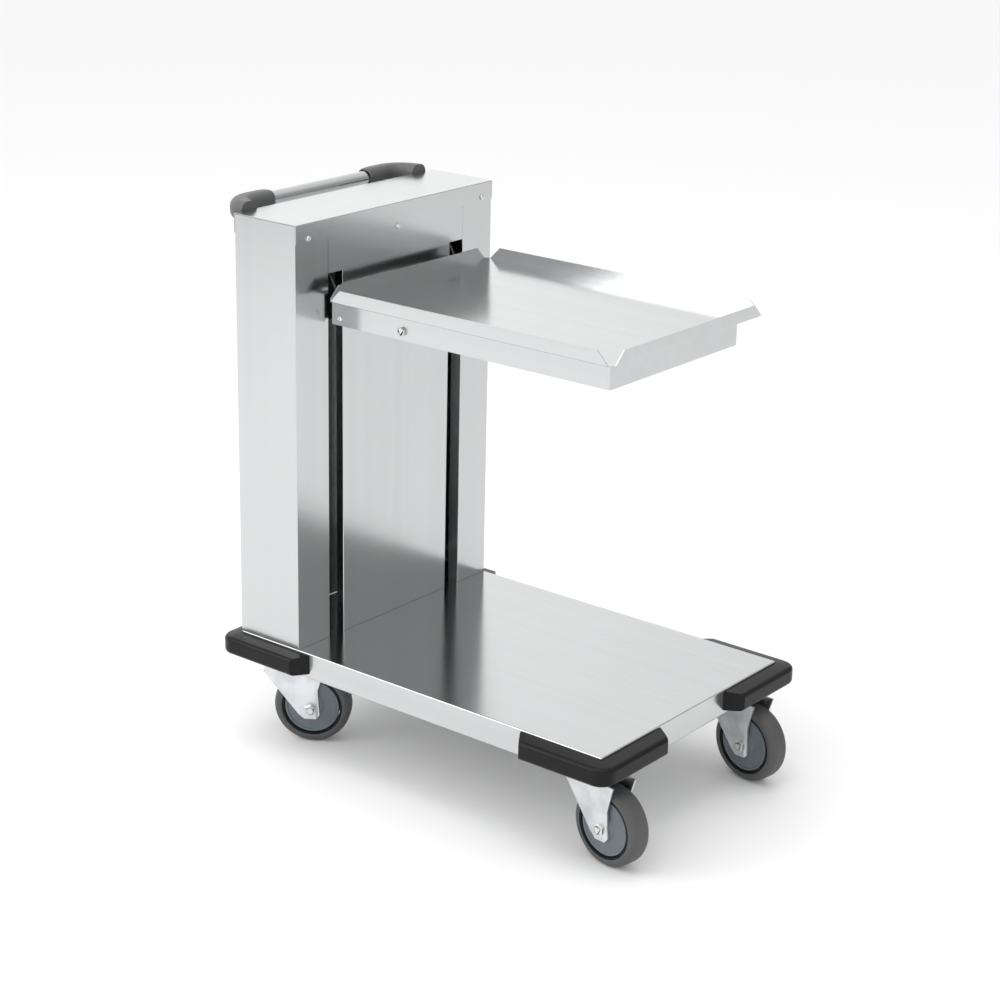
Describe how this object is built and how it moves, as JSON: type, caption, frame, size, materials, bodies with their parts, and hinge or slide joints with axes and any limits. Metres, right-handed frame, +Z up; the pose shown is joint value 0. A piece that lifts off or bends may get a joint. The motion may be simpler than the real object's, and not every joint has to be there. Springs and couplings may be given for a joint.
{
  "type": "food service trolley",
  "caption": "Cantilever tray dispenser trolley: a sprung tray platform rides up and down a stainless tower on a flat deck with swivel castors.",
  "frame": {"origin": "on the floor, below the centre of the whole trolley's bounding box", "axes": "+X from the tower to the open end of the deck, +Y to the trolley's left seen from the push handle, +Z up"},
  "size_m": [0.8386, 0.5206, 0.882],
  "materials": {
    "stainless": "satin brushed stainless sheet",
    "zinc": "bright zinc plate",
    "fastener": "plated fastener steel",
    "spring": "drawn spring wire",
    "rail": "dark steel section",
    "roller": "natural nylon",
    "bumper": "black moulded plastic",
    "elbow": "dark grey moulded plastic",
    "core": "blue grey moulded plastic",
    "tyre": "dark grey rubber"
  },
  "bodies": {
    "trolley": {"deck_pan": "stainless", "castor_channel_front": "zinc", "castor_channel_rear": "zinc", "bumper_front_right": "bumper", "bumper_rear_right": "bumper", "bumper_front_left": "bumper", "bumper_rear_left": "bumper", "tower_shell": "stainless", "tower_front_panel": "stainless", "tower_cap": "stainless", "spring_hanger": "zinc", "panel_screw": "fastener", "lift_spring_1": "spring", "lift_spring_2": "spring", "lift_spring_3": "spring", "lift_spring_4": "spring", "handle_tube": "stainless", "guide_rail_right": "rail", "handle_elbow_right": "elbow", "cap_screw_right": "fastener", "guide_rail_left": "rail", "handle_elbow_left": "elbow", "cap_screw_left": "fastener", "castor_front_right_plate": "zinc", "castor_front_left_plate": "zinc", "castor_rear_right_plate": "zinc", "castor_rear_left_plate": "zinc"},
    "platform": {"carriage_plate": "zinc", "carriage_arm_right": "stainless", "carriage_arm_left": "stainless", "platform_frame": "stainless", "platform_tray": "stainless", "frame_screw_right": "fastener", "frame_screw_left": "fastener", "frame_bolt_right": "fastener", "frame_bolt_left": "fastener"},
    "lower_roller_right": {"guide_roller_lower_right": "roller"},
    "upper_roller_right": {"guide_roller_upper_right": "roller"},
    "lower_roller_left": {"guide_roller_lower_left": "roller"},
    "upper_roller_left": {"guide_roller_upper_left": "roller"},
    "swivel_front_right": {"castor_front_right_fork": "zinc", "castor_front_right_axle": "fastener", "castor_front_right_nut": "fastener"},
    "wheel_front_right": {"castor_front_right_core": "core", "castor_front_right_tyre": "tyre"},
    "swivel_front_left": {"castor_front_left_fork": "zinc", "castor_front_left_axle": "fastener", "castor_front_left_nut": "fastener"},
    "wheel_front_left": {"castor_front_left_core": "core", "castor_front_left_tyre": "tyre"},
    "swivel_rear_right": {"castor_rear_right_fork": "zinc", "castor_rear_right_axle": "fastener", "castor_rear_right_nut": "fastener"},
    "wheel_rear_right": {"castor_rear_right_core": "core", "castor_rear_right_tyre": "tyre"},
    "swivel_rear_left": {"castor_rear_left_fork": "zinc", "castor_rear_left_axle": "fastener", "castor_rear_left_nut": "fastener"},
    "wheel_rear_left": {"castor_rear_left_core": "core", "castor_rear_left_tyre": "tyre"}
  },
  "joints": [
    {"name": "platform_lift", "type": "slide", "parent": "trolley", "child": "platform", "axis": [0, 0, 1], "range_m": [-0.49, 0], "stiffness_N_per_m": 800, "springref_m": 0.15, "deforming": ["lift_spring_1", "lift_spring_2", "lift_spring_3", "lift_spring_4"]},
    {"name": "lower_roller_right_spin", "type": "hinge", "parent": "platform", "child": "lower_roller_right", "pos_m": [-0.30235, -0.1518, 0.715], "axis": [0, 1, 0], "continuous": true},
    {"name": "upper_roller_right_spin", "type": "hinge", "parent": "platform", "child": "upper_roller_right", "pos_m": [-0.30235, -0.1518, 0.825], "axis": [0, 1, 0], "continuous": true},
    {"name": "lower_roller_left_spin", "type": "hinge", "parent": "platform", "child": "lower_roller_left", "pos_m": [-0.30235, 0.1518, 0.715], "axis": [0, 1, 0], "continuous": true},
    {"name": "upper_roller_left_spin", "type": "hinge", "parent": "platform", "child": "upper_roller_left", "pos_m": [-0.30235, 0.1518, 0.825], "axis": [0, 1, 0], "continuous": true},
    {"name": "swivel_front_right", "type": "hinge", "parent": "trolley", "child": "swivel_front_right", "pos_m": [0.31665, -0.187, 0.136], "axis": [0, 0, 1], "continuous": true},
    {"name": "wheel_front_right_spin", "type": "hinge", "parent": "swivel_front_right", "child": "wheel_front_right", "pos_m": [0.35626, -0.19257, 0.0625], "axis": [0.1392, 0.9903, 0], "continuous": true},
    {"name": "swivel_front_left", "type": "hinge", "parent": "trolley", "child": "swivel_front_left", "pos_m": [0.31665, 0.187, 0.136], "axis": [0, 0, 1], "continuous": true},
    {"name": "wheel_front_left_spin", "type": "hinge", "parent": "swivel_front_left", "child": "wheel_front_left", "pos_m": [0.35626, 0.18143, 0.0625], "axis": [0.1392, 0.9903, 0], "continuous": true},
    {"name": "swivel_rear_right", "type": "hinge", "parent": "trolley", "child": "swivel_rear_right", "pos_m": [-0.29735, -0.187, 0.136], "axis": [0, 0, 1], "continuous": true},
    {"name": "wheel_rear_right_spin", "type": "hinge", "parent": "swivel_rear_right", "child": "wheel_rear_right", "pos_m": [-0.2638, -0.16521, 0.0625], "axis": [-0.5446, 0.8387, 0], "continuous": true},
    {"name": "swivel_rear_left", "type": "hinge", "parent": "trolley", "child": "swivel_rear_left", "pos_m": [-0.29735, 0.187, 0.136], "axis": [0, 0, 1], "continuous": true},
    {"name": "wheel_rear_left_spin", "type": "hinge", "parent": "swivel_rear_left", "child": "wheel_rear_left", "pos_m": [-0.2638, 0.20879, 0.0625], "axis": [-0.5446, 0.8387, 0], "continuous": true}
  ],
  "couplings": [
    {"joint": "lower_roller_right_spin", "follows": "platform_lift", "rad_per_m": -71.429},
    {"joint": "upper_roller_right_spin", "follows": "platform_lift", "rad_per_m": 71.429},
    {"joint": "lower_roller_left_spin", "follows": "platform_lift", "rad_per_m": -71.429},
    {"joint": "upper_roller_left_spin", "follows": "platform_lift", "rad_per_m": 71.429}
  ]
}
